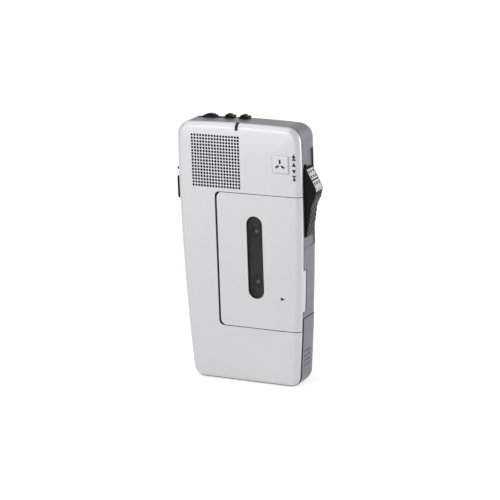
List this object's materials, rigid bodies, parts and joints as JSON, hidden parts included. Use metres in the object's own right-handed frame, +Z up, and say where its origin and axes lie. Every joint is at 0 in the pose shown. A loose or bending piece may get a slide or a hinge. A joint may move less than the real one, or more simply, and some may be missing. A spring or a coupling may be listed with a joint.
{
  "type": "microcassette dictation machine",
  "caption": "Slim hand-held dictation machine with a hinged cassette door, side slide control, speaker grille, volume wheel and a tape drive inside.",
  "frame": {"origin": "middle of the flat lower end that the machine stands on, midway between front and back", "axes": "+Z up along the machine's length, +X to the right seen from the front, front faces -Y"},
  "size_m": [0.0721, 0.0225, 0.1279],
  "materials": {
    "silver_paint": "satin silver lacquer on moulded plastic",
    "side_paint": "satin grey-silver lacquer on moulded plastic",
    "smoked_window": "smoked clear plastic",
    "bright_steel": "bright",
    "plated_steel": "zinc plated",
    "spring_bronze": "rolled",
    "plated_contact": "nickel plated",
    "cell_jacket": "plain printed jacket",
    "black_plastic": "moulded, fine texture",
    "dark_plastic": "moulded",
    "silver_pad": "satin silver",
    "lamp_red": "clear red",
    "black_rubber": "moulded",
    "cone_paper": "pressed paper",
    "ferrite": "sintered",
    "brass": "turned",
    "bronze": "sintered",
    "white_plastic": "moulded",
    "brown_tape": "wound tape edge",
    "cassette_plastic": "moulded",
    "board_green": "solder resist",
    "black_screw": "blackened"
  },
  "bodies": {
    "case": {"front_shell": "silver_paint", "rear_shell": "side_paint", "hinge_pins": "bright_steel", "door_catch": "spring_bronze", "battery_cells": "cell_jacket", "bay_contacts": "plated_contact", "main_switch": "dark_plastic", "volume_pot": "dark_plastic", "switch_bodies": "dark_plastic", "side_switches": "dark_plastic", "earphone_jack": "black_plastic", "light_pipe": "smoked_window", "record_lamp": "lamp_red", "mic_plate": "silver_paint", "mic_capsule": "bright_steel", "speaker_gasket": "black_rubber", "speaker_frame": "bright_steel", "speaker_cone": "cone_paper", "speaker_magnet": "ferrite", "deck_plate": "plated_steel", "deck_screws": "bright_steel", "motor": "plated_steel", "drive_belt": "black_rubber", "capstan_bush": "bronze", "idler_pin": "bright_steel", "cassette_shell": "cassette_plastic", "circuit_board": "board_green", "case_screws": "black_screw"},
    "door": {"cassette_door": "silver_paint", "door_window": "smoked_window"},
    "battery_cover": {"battery_cover": "side_paint", "cover_contact": "plated_contact"},
    "slide_control": {"slide_control": "black_plastic", "slide_pad": "silver_pad"},
    "volume_wheel": {"volume_wheel": "black_plastic"},
    "left_switch": {"switch_knob_left": "black_plastic"},
    "right_switch": {"switch_knob_right": "black_plastic"},
    "record_button": {"record_button": "black_plastic"},
    "index_button": {"index_button": "black_plastic"},
    "head_slide": {"head_slide": "plated_steel", "play_head": "bright_steel", "erase_head": "dark_plastic", "pinch_pin": "bright_steel"},
    "pinch_roller": {"pinch_roller": "black_rubber"},
    "motor_pulley": {"motor_pulley": "brass"},
    "flywheel": {"flywheel": "brass"},
    "idler_wheel": {"idler_wheel": "black_rubber"},
    "supply_reel": {"supply_spindle": "white_plastic", "supply_reel": "brown_tape"},
    "takeup_reel": {"takeup_spindle": "white_plastic", "takeup_reel": "brown_tape"}
  },
  "joints": [
    {"name": "door_hinge", "type": "hinge", "parent": "case", "child": "door", "pos_m": [-0.01049, -0.0096, 0], "axis": [0, 0, -1], "range_deg": [0, 70]},
    {"name": "slide_travel", "type": "slide", "parent": "case", "child": "slide_control", "axis": [0, 0, 1], "range_m": [-0.0048, 0.005]},
    {"name": "cover_slide", "type": "slide", "parent": "case", "child": "battery_cover", "axis": [0, 0, -1], "range_m": [0, 0.008]},
    {"name": "volume_turn", "type": "hinge", "parent": "case", "child": "volume_wheel", "pos_m": [-0.01895, 0.001, 0.12088], "axis": [0, 1, 0], "range_deg": [-135, 135]},
    {"name": "left_switch_slide", "type": "slide", "parent": "case", "child": "left_switch", "axis": [1, 0, 0], "range_m": [0, 0.0015]},
    {"name": "right_switch_slide", "type": "slide", "parent": "case", "child": "right_switch", "axis": [1, 0, 0], "range_m": [0, 0.0015]},
    {"name": "record_press", "type": "slide", "parent": "case", "child": "record_button", "axis": [1, 0, 0], "range_m": [0, 0.0007], "stiffness_N_per_m": 600, "springref_m": -0.0005},
    {"name": "index_press", "type": "slide", "parent": "case", "child": "index_button", "axis": [1, 0, 0], "range_m": [0, 0.0007], "stiffness_N_per_m": 400, "springref_m": -0.0005},
    {"name": "head_travel", "type": "slide", "parent": "case", "child": "head_slide", "axis": [1, 0, 0], "range_m": [-0.0025, 0.0025]},
    {"name": "pinch_spin", "type": "hinge", "parent": "head_slide", "child": "pinch_roller", "pos_m": [-0.01264, -0.005, 0.0504], "axis": [0, 1, 0], "continuous": true},
    {"name": "flywheel_spin", "type": "hinge", "parent": "case", "child": "flywheel", "pos_m": [-0.00634, 0.002, 0.0504], "axis": [0, 1, 0], "continuous": true},
    {"name": "motor_spin", "type": "hinge", "parent": "case", "child": "motor_pulley", "pos_m": [-0.0196, 0.002, 0.08502], "axis": [0, 1, 0], "continuous": true},
    {"name": "idler_spin", "type": "hinge", "parent": "case", "child": "idler_wheel", "pos_m": [0.00131, 0.002, 0.06362], "axis": [0, 1, 0], "continuous": true},
    {"name": "takeup_spin", "type": "hinge", "parent": "case", "child": "takeup_reel", "pos_m": [0.00766, 0.002, 0.07459], "axis": [0, 1, 0], "continuous": true},
    {"name": "supply_spin", "type": "hinge", "parent": "case", "child": "supply_reel", "pos_m": [0.00766, 0.002, 0.0502], "axis": [0, 1, 0], "continuous": true}
  ],
  "couplings": [
    {"joint": "head_travel", "follows": "slide_travel", "ratio": -0.5},
    {"joint": "motor_spin", "follows": "flywheel_spin", "ratio": 4.1107},
    {"joint": "idler_spin", "follows": "flywheel_spin", "ratio": -1.1175},
    {"joint": "takeup_spin", "follows": "flywheel_spin", "ratio": 1.4813},
    {"joint": "supply_spin", "follows": "flywheel_spin", "ratio": 1.3167},
    {"joint": "pinch_spin", "follows": "flywheel_spin", "ratio": -0.38462}
  ]
}
